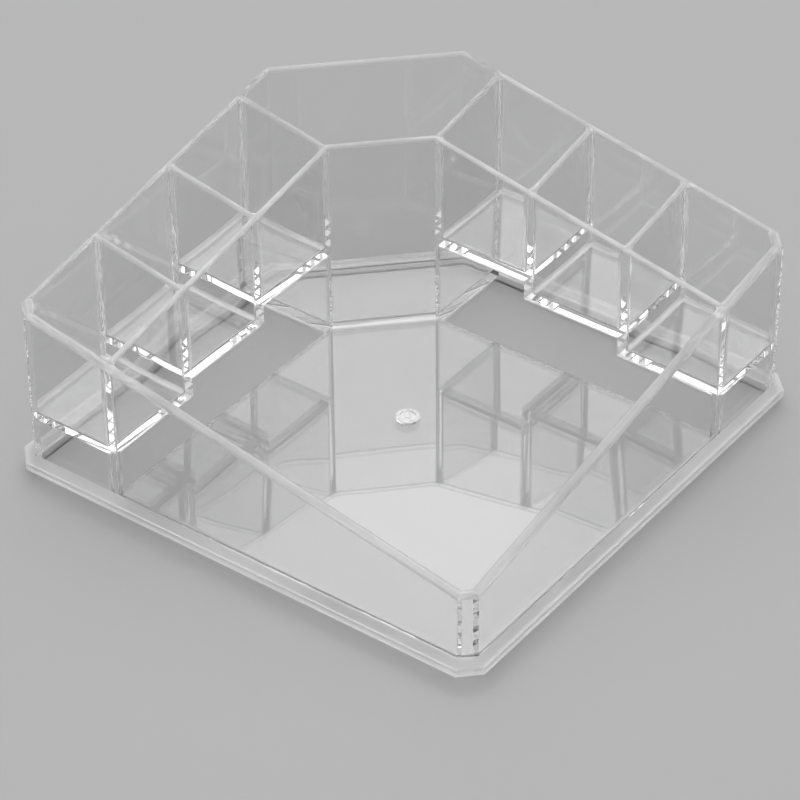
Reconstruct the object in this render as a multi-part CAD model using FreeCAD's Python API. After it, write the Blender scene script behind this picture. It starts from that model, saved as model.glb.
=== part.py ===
import FreeCAD, Part
import math
import os

from FreeCAD import Vector

# Clear corner organizer: square in plan with cut corners, front corner towards -X -Y
# Walls
wall_square = 200.0
front_wall = 4.0
back_wall = 2.4
corner_cut = 5.1
back_cut = 53.6
front_height = 34.7
back_height = 99.1
edge_ease = 0.8
edge_ease_share = 0.28
cove_leg = 1.5
cove_hollow_share = 0.293

# Wings along the two back sides
partition = 2.5
wing_depth = 42.7
bin_reach = 71.0
divider_pitch = 42.2
low_floor = 23.9
floor_step = 8.1
floor_thick = 2.4
post_width = 3.0

# Tray, back bin floor and foot rim
foot_height = 2.9
plate_thick = 3.4
rim_reach = 3.7
rim_side = 3.4
rim_rise = 2.3
rim_ease = 0.5

# Moulded gate boss in the middle of the tray
gate_diameter = 9.0
gate_height = 0.7
dish_diameter = 6.4
dish_depth = 0.5
nub_diameter = 1.6
nub_height = 0.3

# How far a cut runs past the piece it trims
overrun = 5.0

half = wall_square / 2
inner_face = half - wing_depth
third_divider = half - bin_reach
divider_places = [third_divider - divider_pitch * back for back in (2, 1, 0)]
floor_heights = [low_floor + floor_step * step for step in range(len(divider_places))]
plate_top = foot_height + plate_thick
rise = (back_height - front_height) / (wall_square * 2 - back_cut - corner_cut)
eighth_turn = math.pi / 4
side_count = 8
x_way, y_way, z_way = Vector(1, 0, 0), Vector(0, 1, 0), Vector(0, 0, 1)
cuts = {1: corner_cut, 3: back_cut, 5: corner_cut, 7: corner_cut}
front_sides = (0, 1, 5, 6, 7)


def top(place):
    """Height of the slanted top plane over a place in plan."""
    return front_height + rise * (place.x + place.y + wall_square - corner_cut)


def lifted(place, height):
    """Point over a place in plan."""
    return Vector(place.x, place.y, height)


def towards(start, end, share):
    """Place between two places, by a share of the way."""
    return start + (end - start) * share


def meeting(first, second):
    """Place where two lines meet, each a normal and its distance from the middle."""
    (a, near), (b, far) = first, second
    turn = a.x * b.y - a.y * b.x
    return Vector((near * b.y - far * a.y) / turn, (a.x * far - b.x * near) / turn, 0)


def side_line(side, offset):
    """Line of one of the eight sides, moved outwards by an offset."""
    angle = eighth_turn * (side - 2)
    distance = half
    if side in cuts:
        distance = (wall_square - cuts[side]) / math.sqrt(2)
    return Vector(math.cos(angle), math.sin(angle), 0), distance + offset


def outline(offset):
    """Corners of the wall outline moved outwards: corner k is where side k starts."""
    lines = [side_line(side, offset) for side in range(side_count)]
    return [meeting(lines[side - 1], lines[side]) for side in range(side_count)]


def inner_outline():
    """Corners of the inner faces of the outer walls, in the same order."""
    lines = []
    for side in range(side_count):
        thick = front_wall if side in front_sides else back_wall
        lines.append(side_line(side, -thick))
    return [meeting(lines[side - 1], lines[side]) for side in range(side_count)]


def bin_front_line(offset):
    """Line of the back bin's front wall, moved towards the back by an offset."""
    return Vector(1, 1, 0).normalize(), (third_divider + inner_face) / math.sqrt(2) + offset


def solid_between(first, last):
    """Solid whose two ends are matching flat outlines."""
    count = len(first)
    rings = [first[::-1], last]
    for index in range(count):
        after = (index + 1) % count
        rings.append([first[index], first[after], last[after], last[index]])
    faces = [Part.Face(Part.makePolygon(ring + ring[:1])) for ring in rings]
    solid = Part.makeSolid(Part.makeShell(faces))
    if solid.Volume < 0:
        solid.reverse()
    return solid


def plate(corners, low, high):
    """Flat plate over a plan outline."""
    ring = [lifted(corner, low) for corner in corners]
    return Part.Face(Part.makePolygon(ring + ring[:1])).extrude(Vector(0, 0, high - low))


def block(low, high):
    """Box between two opposite corners."""
    size = high - low
    return Part.makeBox(size.x, size.y, size.z, low)


def cove(corner, along, first, second):
    """Hollow fillet in the corner between two faces, run along their shared edge."""
    hollow = (first + second) * (cove_leg * cove_hollow_share)
    ring = [corner, corner + first * cove_leg, corner + hollow, corner + second * cove_leg, corner]
    return Part.Face(Part.makePolygon(ring)).extrude(along)


def upright_cove(corner, first, second):
    """Cove up an inside corner, ending where the eased top edges begin."""
    feet = outline(0)
    tops = [lifted(foot, top(foot) - edge_ease) for foot in feet]
    return cove(corner, z_way * back_height, first, second).common(solid_between(feet, tops))


def coved_floor(corners, low, high, walled):
    """Flat floor with coves along the sides that stand against a wall, counted by their first corner."""
    floor = plate(corners, low, high)
    coves = []
    for start in walled:
        side = corners[(start + 1) % len(corners)] - corners[start]
        inwards = z_way.cross(side).normalize()
        coves.append(cove(lifted(corners[start], high), side, inwards, z_way))
    return floor.fuse(coves).removeSplitter()


def panel_end(outer, inner, bottom):
    """End of an upright panel, square or mitred: both top edges eased, slanted top, flat foot."""
    outer_ease = towards(outer, inner, edge_ease_share)
    inner_ease = towards(inner, outer, edge_ease_share)
    return [
        lifted(outer, bottom),
        lifted(outer, top(outer) - edge_ease),
        lifted(outer_ease, top(outer_ease)),
        lifted(inner_ease, top(inner_ease)),
        lifted(inner, top(inner) - edge_ease),
        lifted(inner, bottom),
    ]


def outer_panel(side):
    """One of the eight outer panels, mitred at both ends and standing on the table."""
    outer, inner = outline(0), inner_outline()
    after = (side + 1) % side_count
    return solid_between(panel_end(outer[side], inner[side], 0), panel_end(outer[after], inner[after], 0))


def rim_end(inner, outer):
    """End of a rim strip: flat below, both outer edges eased, sloping up to the wall."""
    eased = towards(outer, inner, rim_ease / rim_reach)
    low, high = foot_height, foot_height + rim_side
    return [
        lifted(inner, low),
        lifted(eased, low),
        lifted(outer, low + rim_ease),
        lifted(outer, high - rim_ease),
        lifted(eased, high),
        lifted(inner, high + rim_rise),
    ]


def rim_strip(side):
    """One strip of the foot rim, mitred at both ends against its neighbours."""
    inside, outside = outline(0), outline(rim_reach)
    after = (side + 1) % side_count
    return solid_between(rim_end(inside[side], outside[side]), rim_end(inside[after], outside[after]))


def bin_front_corner(offset):
    """Corner of the inner walls at the back bin's left front, moved towards the back."""
    return meeting((Vector(0, 1, 0), inner_face + offset), bin_front_line(offset))


def mirrored(place):
    """The same place on the other side of the front-to-back line."""
    return Vector(place.y, place.x, place.z)


def left_inner_wall(front_left):
    """Wall in front of the left wing: stepped lower edge, post at its front end."""
    start = -half + front_wall / 2
    blank = solid_between(
        panel_end(Vector(start, inner_face, 0), Vector(start, inner_face + partition, 0), 0),
        panel_end(bin_front_corner(0), bin_front_corner(partition), 0),
    )
    spans = [-half + front_wall + post_width] + [place + partition / 2 for place in divider_places]
    for index, height in enumerate(floor_heights):
        blank = blank.cut(
            block(
                Vector(spans[index], inner_face - overrun, -overrun),
                Vector(spans[index + 1], inner_face + partition + overrun, height),
            )
        )
    corner = Vector(-half + front_wall, inner_face, 0)
    coves = [
        upright_cove(corner, x_way, -y_way),
        upright_cove(corner + y_way * partition, x_way, y_way),
    ]
    return blank.fuse(coves).removeSplitter().cut(front_left)


def back_inner_wall():
    """Wall in front of the deep back bin, mitred to the wings' inner walls."""
    tray_side, bin_side = bin_front_corner(0), bin_front_corner(partition)
    return solid_between(
        panel_end(tray_side, bin_side, foot_height),
        panel_end(mirrored(tray_side), mirrored(bin_side), foot_height),
    )


def left_divider(number, neighbours):
    """Divider across the left wing, down to the floor on its lower side or, at the bin, to the foot rim."""
    middle = divider_places[number]
    near, far = middle - partition / 2, middle + partition / 2
    start, end = inner_face + partition / 2, half - back_wall / 2
    bottom = floor_heights[number]
    at_bin = number == len(divider_places) - 1
    if at_bin:
        bottom = foot_height
    blank = solid_between(
        panel_end(Vector(near, start, 0), Vector(far, start, 0), bottom),
        panel_end(Vector(near, end, 0), Vector(far, end, 0), bottom),
    )
    if at_bin:
        toe = block(Vector(near, inner_face, bottom), Vector(far, start, floor_heights[number]))
        blank = blank.fuse(toe).removeSplitter()
    inside, outside = inner_face + partition, half - back_wall
    near_low, far_low = (floor_heights + [foot_height])[number:number + 2]
    coves = [
        upright_cove(Vector(near, inside, near_low), -x_way, y_way),
        upright_cove(Vector(near, outside, near_low), -x_way, -y_way),
        upright_cove(Vector(far, outside, far_low), x_way, -y_way),
    ]
    if not at_bin:
        coves.append(upright_cove(Vector(far, inside, far_low), x_way, y_way))
    return blank.fuse(coves).removeSplitter().cut(neighbours)


def left_cell_floor(number, neighbours):
    """Floor of one cell of the left wing, coved along its four sides."""
    starts = [-half + front_wall] + [place + partition / 2 for place in divider_places]
    near, far = starts[number], divider_places[number] - partition / 2
    inside, outside = inner_face + partition, half - back_wall
    corners = [
        Vector(near, inside, 0),
        Vector(far, inside, 0),
        Vector(far, outside, 0),
        Vector(near, outside, 0),
    ]
    low = floor_heights[number]
    floor = coved_floor(corners, low, low + floor_thick, range(len(corners)))
    return floor.common(plate(inner_outline(), 0, back_height)).cut(neighbours)


def gate_boss():
    """Low round boss with a dished top and a small nub, left by moulding."""
    boss = Part.makeCylinder(gate_diameter / 2, gate_height, Vector(0, 0, plate_top))
    rim_level = plate_top + gate_height
    dish = Part.makeCylinder(dish_diameter / 2, dish_depth, Vector(0, 0, rim_level - dish_depth))
    nub = Part.makeCylinder(nub_diameter / 2, nub_height, Vector(0, 0, rim_level - dish_depth))
    return boss.cut(dish).fuse(nub)


def tray_floor(neighbours):
    """Floor of the front tray, coved along the walls, with the gate boss in its middle."""
    inside = inner_outline()
    tray_side = bin_front_corner(0)
    left_end = Vector(inside[6].x, inner_face, 0)
    corners = [inside[7], inside[0], mirrored(left_end), mirrored(tray_side), tray_side, left_end]
    return coved_floor(corners, foot_height, plate_top, (0, 1, 3, 5)).fuse(gate_boss()).cut(neighbours)


def bin_floor(neighbours):
    """Floor of the deep back bin, level with the tray and coved along its walls."""
    start, end = third_divider + partition / 2, half - back_wall
    front = meeting((x_way, start), bin_front_line(partition))
    back = meeting((x_way, end), side_line(3, -back_wall))
    right = Vector(end, start, 0)
    corners = [front, mirrored(front), right, back, mirrored(back), mirrored(right)]
    return coved_floor(corners, foot_height, plate_top, range(len(corners))).cut(neighbours)


def on_the_right(shape):
    """The matching piece on the other side of the front-to-back line."""
    return shape.mirror(Vector(0, 0, 0), Vector(1, -1, 0).normalize())


def build():
    """All pieces by name, the right-hand ones matched to the left-hand ones."""
    back_corner = outer_panel(3)
    back_left, left_corner, front_left = outer_panel(4), outer_panel(5), outer_panel(6)
    bin_front = back_inner_wall()
    left_inner = left_inner_wall(front_left)
    left = {
        "front_left_wall": front_left,
        "left_corner_panel": left_corner,
        "back_left_wall": back_left,
        "left_inner_wall": left_inner,
        "rim_back_left": rim_strip(4),
        "rim_left_corner": rim_strip(5),
        "rim_front_left": rim_strip(6),
    }
    numbers = range(len(divider_places))
    walls = [back_left, back_corner, left_inner, bin_front]
    dividers = [left_divider(number, walls) for number in numbers]
    for number in numbers:
        left[f"left_divider_{number + 1}"] = dividers[number]
        left[f"left_cell_floor_{number + 1}"] = left_cell_floor(number, [left_inner] + dividers)
    pieces = {
        "front_corner_panel": outer_panel(7),
        "back_corner_panel": back_corner,
        "back_inner_wall": bin_front,
        "rim_front_corner": rim_strip(7),
        "rim_back_corner": rim_strip(3),
        "tray_floor": tray_floor([left_inner, on_the_right(left_inner)]),
        "bin_floor": bin_floor([dividers[-1], on_the_right(dividers[-1])]),
    }
    for name, shape in left.items():
        pieces[name] = shape
        pieces[name.replace("left", "right")] = on_the_right(shape)
    return pieces


def with_joint_faces(pieces):
    """The same pieces, with each bonded joint outlined as a face of its own on both sides."""
    solids = [shape.Solids[0] for shape in pieces.values()]
    joined, origin = solids[0].generalFuse(solids[1:])
    return {name: parts[0] for name, parts in zip(pieces, origin)}


os.makedirs("parts", exist_ok=True)
for name, shape in with_joint_faces(build()).items():
    shape.exportStep(f"parts/{name}.step")
    print(name, round(shape.Volume, 1), len(shape.Faces), shape.isValid())
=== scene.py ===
"""Looks of the clear vanity organizer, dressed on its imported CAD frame."""

import logging
import math
from dataclasses import dataclass, field
from enum import Enum
from typing import Iterable

import bpy
from mathutils import Matrix, Vector
from mathutils.bvhtree import BVHTree

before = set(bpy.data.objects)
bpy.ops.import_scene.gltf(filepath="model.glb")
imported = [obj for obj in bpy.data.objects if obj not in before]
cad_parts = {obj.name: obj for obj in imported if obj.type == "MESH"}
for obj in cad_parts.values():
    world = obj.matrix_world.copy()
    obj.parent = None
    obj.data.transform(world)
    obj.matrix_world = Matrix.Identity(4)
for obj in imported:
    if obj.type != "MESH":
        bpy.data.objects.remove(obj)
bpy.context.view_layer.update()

LOG = logging.getLogger("vanity_organizer")
MM = 0.001
LIGHT_BOUNCES = 96
CLEAR_BOUNCES = 128
# Most values of a noise texture lie between these two.
NOISE_SPAN = (0.35, 0.65)


class Side(Enum):
    """The two matching wings of the organizer, seen from the front corner."""

    LEFT = "left"
    RIGHT = "right"


class FaceKind(Enum):
    """What a face of a panel is: broad, bonded to its neighbour, the sheet's edge or an inside fillet."""

    BROAD = 0
    BONDED = 1
    EDGE = 2
    FILLET = 3


def linear(hex_colour: str) -> tuple[float, float, float, float]:
    """Turn an sRGB hex colour into linear light.

    Args:
        hex_colour: Six hex digits, with or without a leading hash.

    Returns:
        Linear red, green, blue and a full alpha.
    """
    digits = hex_colour.lstrip("#")
    channels = [int(digits[i:i + 2], 16) / 255 for i in (0, 2, 4)]
    made = [c / 12.92 if c <= 0.04045 else ((c + 0.055) / 1.055) ** 2.4 for c in channels]
    return made[0], made[1], made[2], 1.0


def add_node(tree: bpy.types.NodeTree, kind: str, inputs: dict[str | int, object],
             **settings: object) -> bpy.types.Node:
    """Add a shader node, set its plain inputs and link the rest.

    Args:
        tree: Node tree that gets the node.
        kind: Blender's name for the node type, without its ShaderNode start.
        inputs: Sockets by name or number; a socket is linked, any other value is set.
        settings: Properties of the node itself.

    Returns:
        The new node.
    """
    node = tree.nodes.new("ShaderNode" + kind)
    for name, value in settings.items():
        setattr(node, name, value)
    for name, value in inputs.items():
        if isinstance(value, bpy.types.NodeSocket):
            tree.links.new(value, node.inputs[name])
        else:
            node.inputs[name].default_value = value
    return node


def new_tree(owner: bpy.types.Material | bpy.types.World) -> bpy.types.NodeTree:
    """Empty the node tree of a material or world.

    Args:
        owner: Material or world that gets the tree.

    Returns:
        The empty tree.
    """
    owner.use_nodes = True
    owner.node_tree.nodes.clear()
    return owner.node_tree


@dataclass(frozen=True)
class GateMark:
    """Round boss where the gate was broken off; its torn plastic scatters light, so it looks white."""

    radius: float = 4.6 * MM
    level: float = 6.4 * MM
    colour: str = "#f2f2f2"
    roughness: float = 0.35
    whiteness: tuple[float, float] = (0.35, 0.7)
    grain_size: float = 2 * MM
    grain_height: float = 0.05 * MM

    def whiten(self, tree: bpy.types.NodeTree, place: bpy.types.NodeSocket, plastic: bpy.types.NodeSocket,
               ior: float) -> bpy.types.NodeSocket:
        """Whiten the boss in the middle of the tray.

        Args:
            tree: Node tree of the material.
            place: Object coordinates.
            plastic: Shader of the plain plastic.
            ior: Refraction of the plastic.

        Returns:
            Shader of the plastic with the white mark.
        """
        flat = add_node(tree, "VectorMath", {0: place, 1: (1.0, 1.0, 0.0)}, operation="MULTIPLY")
        reach = add_node(tree, "VectorMath", {0: flat.outputs["Vector"]}, operation="LENGTH")
        inside = add_node(tree, "Math", {0: reach.outputs["Value"], 1: self.radius}, operation="LESS_THAN")
        height = add_node(tree, "SeparateXYZ", {"Vector": place})
        raised = add_node(tree, "Math", {0: height.outputs["Z"], 1: self.level}, operation="GREATER_THAN")
        grain = add_node(tree, "TexNoise", {"Vector": place, "Scale": 1 / self.grain_size, "Detail": 2.0})
        torn = add_node(tree, "MapRange", {
            "Value": grain.outputs["Fac"], "From Min": NOISE_SPAN[0], "From Max": NOISE_SPAN[1],
            "To Min": self.whiteness[0], "To Max": self.whiteness[1],
        })
        on_boss = add_node(tree, "Math", {0: inside.outputs["Value"], 1: raised.outputs["Value"]},
                           operation="MULTIPLY")
        share = add_node(tree, "Math", {0: on_boss.outputs["Value"], 1: torn.outputs["Result"]},
                         operation="MULTIPLY")
        rough = add_node(tree, "Bump", {
            "Strength": 1.0, "Distance": self.grain_height, "Height": grain.outputs["Fac"],
        })
        white = add_node(tree, "BsdfPrincipled", {
            "Base Color": linear(self.colour), "Roughness": self.roughness, "IOR": ior,
            "Normal": rough.outputs["Normal"],
        })
        return add_node(tree, "MixShader", {
            0: share.outputs["Value"], 1: plastic, 2: white.outputs["BSDF"],
        }).outputs["Shader"]


@dataclass(frozen=True)
class ClearPolystyrene:
    """Injection-moulded clear polystyrene; the fields say how the mould left its faces, and where white frost
    is painted on them as a highlight.
    """

    name: str
    colour: str = "#f5f5f5"
    ior: float = 1.59
    polish: tuple[float, float] = (0.002, 0.012)
    haze_size: float = 14 * MM
    haze_span: tuple[float, float] = (0.3, 0.7)
    wave_size: float = 38 * MM
    wave_height: float = 0.02 * MM
    ripple_size: float = 7 * MM
    ripple_height: float = 0.001 * MM
    # White frost painted on as a highlight: its share range, patch size and colour, and how much of it is
    # translucent.
    painted_highlight_frost: tuple[float, float] = (0.0, 0.0)
    painted_highlight_frost_size: tuple[float, float, float] = (30 * MM, 30 * MM, 30 * MM)
    painted_highlight_frost_colour: str = "#f8f8f8"
    painted_highlight_translucency: float = 0.0
    straight_light: str = "#fafafa"
    gate: GateMark | None = None

    def make(self) -> bpy.types.Material:
        """Build the material.

        Returns:
            The finished material.
        """
        material = bpy.data.materials.new(self.name)
        tree = new_tree(material)
        place = add_node(tree, "TexCoord", {}).outputs["Object"]
        shape = self.moulded_faces(tree, place)
        haze = add_node(tree, "TexNoise", {"Vector": place, "Scale": 1 / self.haze_size, "Detail": 3.0})
        polish = add_node(tree, "MapRange", {
            "Value": haze.outputs["Fac"], "From Min": self.haze_span[0], "From Max": self.haze_span[1],
            "To Min": self.polish[0], "To Max": self.polish[1],
        })
        plastic = add_node(tree, "BsdfPrincipled", {
            "Base Color": linear(self.colour), "IOR": self.ior, "Roughness": polish.outputs["Result"],
            "Transmission Weight": 1.0, "Normal": shape,
        }).outputs["BSDF"]
        # Paint the highlight of white frost where the finish has one.
        if self.painted_highlight_frost[1]:
            plastic = self.paint_highlight_frost(tree, place, shape, plastic)
        if self.gate:
            plastic = self.gate.whiten(tree, place, plastic, self.ior)
        # Light on its way to or from the floor goes straight through the thin panels.
        straight = add_node(tree, "BsdfTransparent", {"Color": linear(self.straight_light)})
        path = add_node(tree, "LightPath", {})
        shown = add_node(tree, "MixShader", {
            0: path.outputs["Is Shadow Ray"], 1: plastic, 2: straight.outputs["BSDF"],
        })
        add_node(tree, "OutputMaterial", {"Surface": shown.outputs["Shader"]})
        return material

    def paint_highlight_frost(self, tree: bpy.types.NodeTree, place: bpy.types.NodeSocket, shape: bpy.types.NodeSocket,
                plastic: bpy.types.NodeSocket) -> bpy.types.NodeSocket:
        """Paint a highlight on the plastic: whiten it in soft patches or streaks with white diffuse and
        translucent frost.

        Args:
            tree: Node tree of the material.
            place: Object coordinates.
            shape: Normal socket of the faces.
            plastic: Shader of the plain plastic.

        Returns:
            Shader of the whitened plastic.
        """
        stretch = tuple(1 / size for size in self.painted_highlight_frost_size)
        stretched_place = add_node(tree, "VectorMath", {0: place, 1: stretch}, operation="MULTIPLY")
        streak = add_node(tree, "TexNoise", {"Vector": stretched_place.outputs["Vector"], "Scale": 1.0, "Detail": 2.0})
        share = add_node(tree, "MapRange", {
            "Value": streak.outputs["Fac"], "From Min": NOISE_SPAN[0], "From Max": NOISE_SPAN[1],
            "To Min": self.painted_highlight_frost[0], "To Max": self.painted_highlight_frost[1],
        })
        # White diffuse and translucent frost: the painted highlight.
        white = add_node(tree, "BsdfDiffuse", {"Color": linear(self.painted_highlight_frost_colour), "Normal": shape})
        lit_through = add_node(tree, "BsdfTranslucent", {"Color": linear(self.painted_highlight_frost_colour), "Normal": shape})
        painted_highlight_frost = add_node(tree, "MixShader", {
            0: self.painted_highlight_translucency, 1: white.outputs["BSDF"], 2: lit_through.outputs["BSDF"],
        })
        return add_node(tree, "MixShader", {
            0: share.outputs["Result"], 1: plastic, 2: painted_highlight_frost.outputs["Shader"],
        }).outputs["Shader"]

    def moulded_faces(self, tree: bpy.types.NodeTree, place: bpy.types.NodeSocket) -> bpy.types.NodeSocket:
        """Give the faces the slow waves and fine ripple that cooling in the mould leaves.

        Args:
            tree: Node tree of the material.
            place: Object coordinates.

        Returns:
            The normal socket for the plastic.
        """
        wave = add_node(tree, "TexNoise", {"Vector": place, "Scale": 1 / self.wave_size, "Detail": 1.0})
        slow = add_node(tree, "Bump", {
            "Strength": 1.0, "Distance": self.wave_height, "Height": wave.outputs["Fac"],
        })
        ripple = add_node(tree, "TexNoise", {"Vector": place, "Scale": 1 / self.ripple_size, "Detail": 2.0})
        return add_node(tree, "Bump", {
            "Strength": 1.0, "Distance": self.ripple_height, "Height": ripple.outputs["Fac"],
            "Normal": slow.outputs["Normal"],
        }).outputs["Normal"]


# Edges and floor fillets are left satin by the mould, and white frost is painted on them as a highlight, so
# they show as soft pale bands.
EDGES_PAINTED_HIGHLIGHT = ClearPolystyrene("clear_polystyrene_edges_painted_highlight", polish=(0.13, 0.19), painted_highlight_frost=(0.32, 0.42))

# Upright streaks of white frost are painted on the inside fillets as a highlight, for the bright columns that
# the fillets make by bending light.
FILLETS_PAINTED_HIGHLIGHT = ClearPolystyrene(
    "clear_polystyrene_fillets_painted_highlight", polish=(0.01, 0.05), painted_highlight_frost=(0.0, 0.3),
    painted_highlight_frost_size=(0.8 * MM, 0.8 * MM, 30 * MM),
)


@dataclass(frozen=True)
class BondedJoint:
    """Solvent-bonded joint between two panels: clear plastic runs through it unbroken."""

    name: str = "bonded_joint_clear"

    def make(self) -> bpy.types.Material:
        """Build the material.

        Returns:
            The finished material.
        """
        material = bpy.data.materials.new(self.name)
        tree = new_tree(material)
        through = add_node(tree, "BsdfTransparent", {"Color": (1.0, 1.0, 1.0, 1.0)})
        add_node(tree, "OutputMaterial", {"Surface": through.outputs["BSDF"]})
        return material


@dataclass(frozen=True)
class MattFloor:
    """Plain pale studio floor with a matt paint finish."""

    name: str = "matt_studio_floor"
    colour: str = "#b2b2b3"
    roughness: float = 0.6
    shine: float = 0.2

    def make(self) -> bpy.types.Material:
        """Build the material.

        Returns:
            The finished material.
        """
        material = bpy.data.materials.new(self.name)
        tree = new_tree(material)
        paint = add_node(tree, "BsdfPrincipled", {
            "Base Color": linear(self.colour), "Roughness": self.roughness, "Specular IOR Level": self.shine,
        })
        add_node(tree, "OutputMaterial", {"Surface": paint.outputs["BSDF"]})
        return material


@dataclass
class Joints:
    """Finds where the panels lie against each other."""

    panels: dict[str, bpy.types.Object]
    touch: float = 0.01 * MM
    opposed: float = -0.999
    trees: dict[str, BVHTree] = field(default_factory=dict)

    def build(self) -> None:
        """Prepare the lookup of every panel's faces."""
        for name, panel in self.panels.items():
            mesh = panel.data
            self.trees[name] = BVHTree.FromPolygons(
                [v.co for v in mesh.vertices], [tuple(p.vertices) for p in mesh.polygons]
            )

    def bonded(self, name: str, face: bpy.types.MeshPolygon) -> bool:
        """Tell whether a face lies on a face of another panel.

        Args:
            name: Panel that the face belongs to.
            face: The face.

        Returns:
            True where another panel's face lies against it.
        """
        for other, tree in self.trees.items():
            if other == name:
                continue
            place, normal, _, _ = tree.find_nearest(face.center, self.touch)
            if place is not None and normal.dot(face.normal) < self.opposed:
                return True
        return False


@dataclass
class ClearPanels:
    """A sub-assembly of clear panels, bonded to one another and to the rest."""

    joints: Joints
    finish: ClearPolystyrene
    smooth_below: float = math.radians(50)
    edge_above: float = 0.3
    flat_above: float = 0.97
    upright_below: float = 0.1
    wall_turn: float = 45
    fillet_turns: tuple[float, float] = (12, 33)
    upright: bool = True

    def names(self) -> list[str]:
        """List the panels.

        Returns:
            Names of the panels in the frame.
        """
        return []

    def build(self) -> None:
        """Tell the faces of each panel apart and let the eased edges shade as rounds."""
        for name in self.names():
            panel = self.joints.panels[name]
            kinds = [self.kind(name, face) for face in panel.data.polygons]
            panel.data.polygons.foreach_set("material_index", [kind.value for kind in kinds])
            self.round_edges(panel)
            LOG.info("%s: %d faces, %d of them bonded", name, len(kinds), kinds.count(FaceKind.BONDED))

    def kind(self, name: str, face: bpy.types.MeshPolygon) -> FaceKind:
        """Tell what a face is.

        Args:
            name: Panel that the face belongs to.
            face: The face.

        Returns:
            Its kind.
        """
        if self.joints.bonded(name, face):
            return FaceKind.BONDED
        # Upright inside fillets take the fillet material, with its painted highlight of white frost streaks.
        if self.in_fillet(face.normal):
            return FaceKind.FILLET
        highest = self.flat_above if "floor" in name else math.inf
        # Tilted eased faces take the edge material, with its painted highlight of white frost.
        eased_edge_painted_highlight = self.edge_above < abs(face.normal.z) < highest
        return FaceKind.EDGE if self.upright and eased_edge_painted_highlight else FaceKind.BROAD

    def in_fillet(self, normal: Vector) -> bool:
        """Tell whether a face is part of an upright inside fillet.

        Args:
            normal: Normal of the face.

        Returns:
            True where the face stands upright and is turned between the ways that the walls face.
        """
        turn = math.degrees(math.atan2(normal.y, normal.x)) % self.wall_turn
        return abs(normal.z) < self.upright_below and self.fillet_turns[0] < turn < self.fillet_turns[1]

    def dress(self, joint: bpy.types.Material, edge: bpy.types.Material, fillet: bpy.types.Material) -> None:
        """Give each panel its plastic, and its bonded faces, edges and fillets their own.

        Args:
            joint: Material of the bonded faces.
            edge: Material of the edges, with white frost painted on as a highlight.
            fillet: Material of the upright inside fillets, with upright streaks of white frost painted on as
                a highlight.
        """
        plastic = self.finish.make()
        for name in self.names():
            mesh = self.joints.panels[name].data
            kinds = [face.material_index for face in mesh.polygons]
            mesh.materials.clear()
            for material in (plastic, joint, edge, fillet):
                mesh.materials.append(material)
            mesh.polygons.foreach_set("material_index", kinds)

    def round_edges(self, panel: bpy.types.Object) -> None:
        """Let eased edges and fillets shade as rounds, and keep every other edge crisp.

        Args:
            panel: Panel to work on.
        """
        mesh = panel.data
        if "custom_normal" in mesh.attributes:
            mesh.attributes.remove(mesh.attributes["custom_normal"])
        sides: dict[frozenset, list[bpy.types.MeshPolygon]] = {}
        touch = self.joints.touch

        def key(edge: Iterable[int]) -> frozenset:
            """Name an edge by where its two ends are.

            Args:
                edge: Numbers of its two vertices.

            Returns:
                The same name for every edge in that place.
            """
            return frozenset(tuple(round(c / touch) for c in mesh.vertices[v].co) for v in edge)

        for face in mesh.polygons:
            face.use_smooth = True
            for edge in face.edge_keys:
                sides.setdefault(key(edge), []).append(face)
        for edge in mesh.edges:
            faces = sides[key(edge.vertices)]
            crisp = len(faces) != 2 or sum(f.material_index == FaceKind.BONDED.value for f in faces) == 1
            edge.use_edge_sharp = crisp or faces[0].normal.angle(faces[1].normal) > self.smooth_below
        weld = panel.modifiers.new("closed_skin", "WELD")
        weld.merge_threshold = touch
        rounds = panel.modifiers.new("rounded_edges", "WEIGHTED_NORMAL")
        rounds.keep_sharp = True


@dataclass
class OuterWalls(ClearPanels):
    """The four walls and the four narrow corner panels between them."""

    # Polished mould: clear, glossy and only slightly wavy.
    finish: ClearPolystyrene = ClearPolystyrene("clear_polystyrene_polished_walls")

    def names(self) -> list[str]:
        """List the panels.

        Returns:
            Names of the panels in the frame.
        """
        walls = [f"{end}_{side.value}_wall" for end in ("front", "back") for side in Side]
        return walls + [f"{corner}_corner_panel" for corner in ("front", "left", "right", "back")]


@dataclass
class Wing(ClearPanels):
    """One wing of stepped cells: its inner wall, dividers and cell floors."""

    # Thin walls between narrow cells cool unevenly: reflections in them are wavier.
    finish: ClearPolystyrene = ClearPolystyrene(
        "clear_polystyrene_polished_cells", wave_size=20 * MM, wave_height=0.05 * MM,
    )
    side: Side = Side.LEFT
    cells: int = 3

    def names(self) -> list[str]:
        """List the panels.

        Returns:
            Names of the panels in the frame.
        """
        pieces = [f"{self.side.value}_inner_wall"]
        for number in range(1, self.cells + 1):
            pieces += [f"{self.side.value}_divider_{number}", f"{self.side.value}_cell_floor_{number}"]
        return pieces


@dataclass
class BackBin(ClearPanels):
    """The deep bin in the back corner: its front wall and its floor."""

    # Polished mould, like the outer walls.
    finish: ClearPolystyrene = ClearPolystyrene("clear_polystyrene_polished_bin")

    def names(self) -> list[str]:
        """List the panels.

        Returns:
            Names of the panels in the frame.
        """
        return ["back_inner_wall", "bin_floor"]


@dataclass
class FrontTray(ClearPanels):
    """The open tray with the moulded gate boss in its middle."""

    # The wide plate sinks a little as it cools: reflections in it sway slowly.
    finish: ClearPolystyrene = ClearPolystyrene(
        "clear_polystyrene_tray_with_gate_mark", wave_size=50 * MM, wave_height=0.03 * MM, gate=GateMark(),
    )

    def names(self) -> list[str]:
        """List the panels.

        Returns:
            Names of the panels in the frame.
        """
        return ["tray_floor"]


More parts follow.
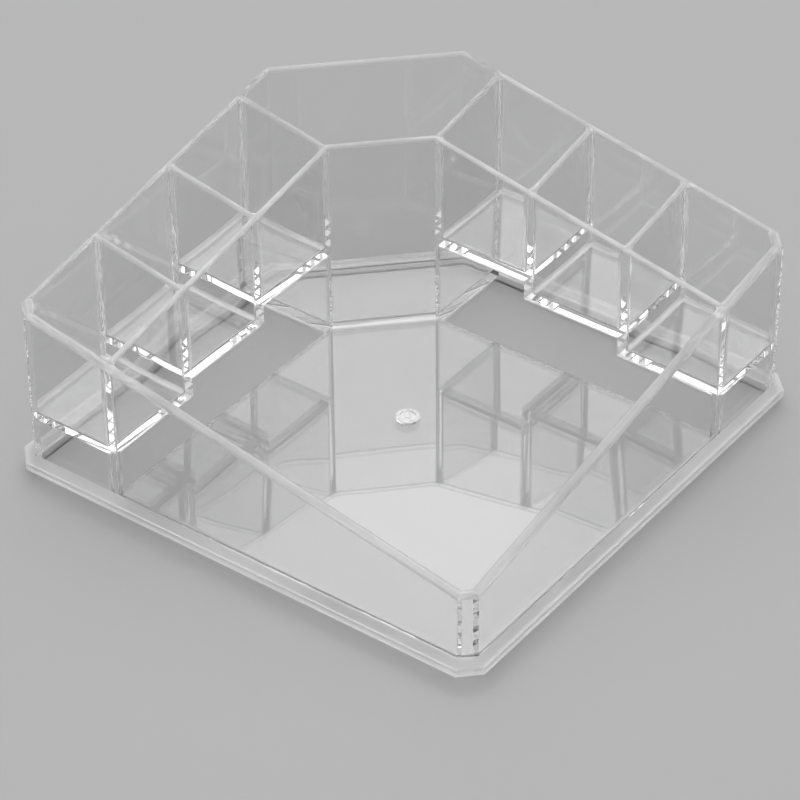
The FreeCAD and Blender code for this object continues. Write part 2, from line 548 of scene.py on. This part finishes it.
@dataclass
class FootRim(ClearPanels):
    """The low rim round the foot, mitred at every corner."""

    # White frost is painted on the rim as a highlight, for the light that runs inside the plastic and leaves
    # at the rim; the rim lets less light straight through, so it shades the floor.
    finish: ClearPolystyrene = ClearPolystyrene(
        "clear_polystyrene_foot_rim_painted_highlight", polish=(0.03, 0.07), painted_highlight_frost=(0.6, 0.75),
        painted_highlight_frost_size=(40 * MM, 40 * MM, 40 * MM), painted_highlight_translucency=0.4, straight_light="#8a8a8a",
    )
    upright: bool = False

    def names(self) -> list[str]:
        """List the panels.

        Returns:
            Names of the panels in the frame.
        """
        strips = [f"rim_{end}_{side.value}" for end in ("front", "back") for side in Side]
        return strips + [f"rim_{corner}_corner" for corner in ("front", "left", "right", "back")]


@dataclass
class Studio:
    """Pale floor, light tent and the camera."""

    floor_size: float = 6.0
    tent_colour: str = "#f6f6f6"
    tent_level: float = 1.2
    tent_heights: tuple[tuple[float, float], ...] = (
        (0, 0.52), (17, 0.52), (19, 0.06), (22, 0.06), (29, 0.67), (50, 0.83), (90, 1.0),
    )
    panel_level: float = 2.1
    panel_heights: tuple[tuple[float, float], ...] = (
        (0, 0.0), (20, 0.0), (27, 1.0), (47, 1.0), (56, 0.0),
    )
    panel_sides: tuple[float, float] = (0.6, 0.9)
    target: Vector = field(default_factory=lambda: Vector((0.0, 0.0, 0.040)))
    azimuth: float = -53.2613
    elevation: float = 36.3381
    roll: float = -0.4772
    distance: float = 1.27407
    lens: float = 157.33
    sensor: float = 36.0
    shift: tuple[float, float] = (-0.0089, -0.0700)
    sight: tuple[float, float] = (0.05, 20.0)

    def build(self, floor_paint: bpy.types.Material) -> None:
        """Lay the floor, light the tent and set the camera.

        Args:
            floor_paint: Material of the floor.
        """
        self.lay_floor(floor_paint)
        self.light()
        self.set_camera()

    def towards(self, azimuth: float, elevation: float) -> Vector:
        """Turn a compass direction into a vector.

        Args:
            azimuth: Degrees about +Z from -Y.
            elevation: Degrees over the horizon.

        Returns:
            Unit vector.
        """
        a, e = math.radians(azimuth), math.radians(elevation)
        return Vector((math.sin(a) * math.cos(e), -math.cos(a) * math.cos(e), math.sin(e)))

    def lay_floor(self, paint: bpy.types.Material) -> None:
        """Lay the floor under the organizer.

        Args:
            paint: Material of the floor.
        """
        half = self.floor_size / 2
        mesh = bpy.data.meshes.new("studio_floor")
        corners = [(-half, -half, 0), (half, -half, 0), (half, half, 0), (-half, half, 0)]
        mesh.from_pydata(corners, [], [(0, 1, 2, 3)])
        mesh.materials.append(paint)
        floor = bpy.data.objects.new("studio_floor", mesh)
        bpy.context.scene.collection.objects.link(floor)

    def light(self) -> None:
        """Light a pale backdrop, a dark gap over it, a soft tent above and a brighter panel behind."""
        world = bpy.data.worlds.new("light_tent")
        tree = new_tree(world)
        way = add_node(tree, "TexCoord", {}).outputs["Generated"]
        height = add_node(tree, "SeparateXYZ", {"Vector": way})
        flat = add_node(tree, "VectorMath", {0: way, 1: (1.0, 1.0, 0.0)}, operation="MULTIPLY")
        turned = add_node(tree, "VectorMath", {0: flat.outputs["Vector"]}, operation="NORMALIZE")
        behind = add_node(tree, "VectorMath", {
            0: turned.outputs["Vector"], 1: self.towards(self.azimuth + 180, 0),
        }, operation="DOT_PRODUCT")
        across = add_node(tree, "MapRange", {
            "Value": behind.outputs["Value"], "To Min": 0.0, "To Max": self.panel_level,
            "From Min": self.panel_sides[0], "From Max": self.panel_sides[1],
        }, interpolation_type="SMOOTHSTEP")
        panel = add_node(tree, "Math", {
            0: self.by_height(tree, height.outputs["Z"], self.panel_heights), 1: across.outputs["Result"],
        }, operation="MULTIPLY")
        level = add_node(tree, "Math", {
            0: self.by_height(tree, height.outputs["Z"], self.tent_heights), 1: self.tent_level,
            2: panel.outputs["Value"],
        }, operation="MULTIPLY_ADD")
        tent = add_node(tree, "Background", {
            "Color": linear(self.tent_colour), "Strength": level.outputs["Value"],
        })
        add_node(tree, "OutputWorld", {"Surface": tent.outputs["Background"]})
        bpy.context.scene.world = world

    def by_height(self, tree: bpy.types.NodeTree, height: bpy.types.NodeSocket,
                  stops: tuple[tuple[float, float], ...]) -> bpy.types.NodeSocket:
        """Share of light by the height of a direction.

        Args:
            tree: Node tree of the world.
            height: Sine of the height over the horizon.
            stops: Heights in degrees, each with its share.

        Returns:
            Socket of the share.
        """
        band = add_node(tree, "ValToRGB", {"Fac": height})
        marks = band.color_ramp.elements
        while len(marks) < len(stops):
            marks.new(1.0)
        for mark, (degrees, share) in zip(marks, stops):
            mark.position = math.sin(math.radians(degrees))
            mark.color = (share, share, share, 1.0)
        return band.outputs["Color"]

    def set_camera(self) -> None:
        """Stand the camera where the photograph was taken from."""
        back = self.towards(self.azimuth, self.elevation)
        lens = bpy.data.cameras.new("photo_camera")
        lens.sensor_width = self.sensor
        lens.lens = self.lens
        lens.shift_x, lens.shift_y = self.shift
        lens.clip_start, lens.clip_end = self.sight
        camera = bpy.data.objects.new("photo_camera", lens)
        camera.location = self.target + back * self.distance
        camera.rotation_mode = "QUATERNION"
        level = (-back).to_track_quat("-Z", "Y").to_matrix()
        roll = Matrix.Rotation(math.radians(self.roll), 3, "Z")
        camera.rotation_quaternion = (level @ roll).to_quaternion()
        bpy.context.scene.collection.objects.link(camera)
        bpy.context.scene.camera = camera


def main() -> None:
    """Dress the organizer and set up the studio."""
    logging.basicConfig(level=logging.INFO, format="%(name)s %(message)s")
    scene = bpy.context.scene
    scene.view_settings.view_transform = "Standard"
    # Light runs far inside clear panels before it leaves them.
    scene.cycles.max_bounces = LIGHT_BOUNCES
    scene.cycles.transmission_bounces = LIGHT_BOUNCES
    scene.cycles.glossy_bounces = LIGHT_BOUNCES
    scene.cycles.transparent_max_bounces = CLEAR_BOUNCES
    joints = Joints(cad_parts)
    joints.build()
    joint = BondedJoint().make()
    # Edges and fillets get materials with painted highlights of white frost.
    edge = EDGES_PAINTED_HIGHLIGHT.make()
    fillet = FILLETS_PAINTED_HIGHLIGHT.make()
    wings = [Wing(joints, side=side) for side in Side]
    for pieces in [OuterWalls(joints), FrontTray(joints), *wings, BackBin(joints), FootRim(joints)]:
        pieces.build()
        pieces.dress(joint, edge, fillet)
    Studio().build(MattFloor().make())


if __name__ == "__main__":
    main()
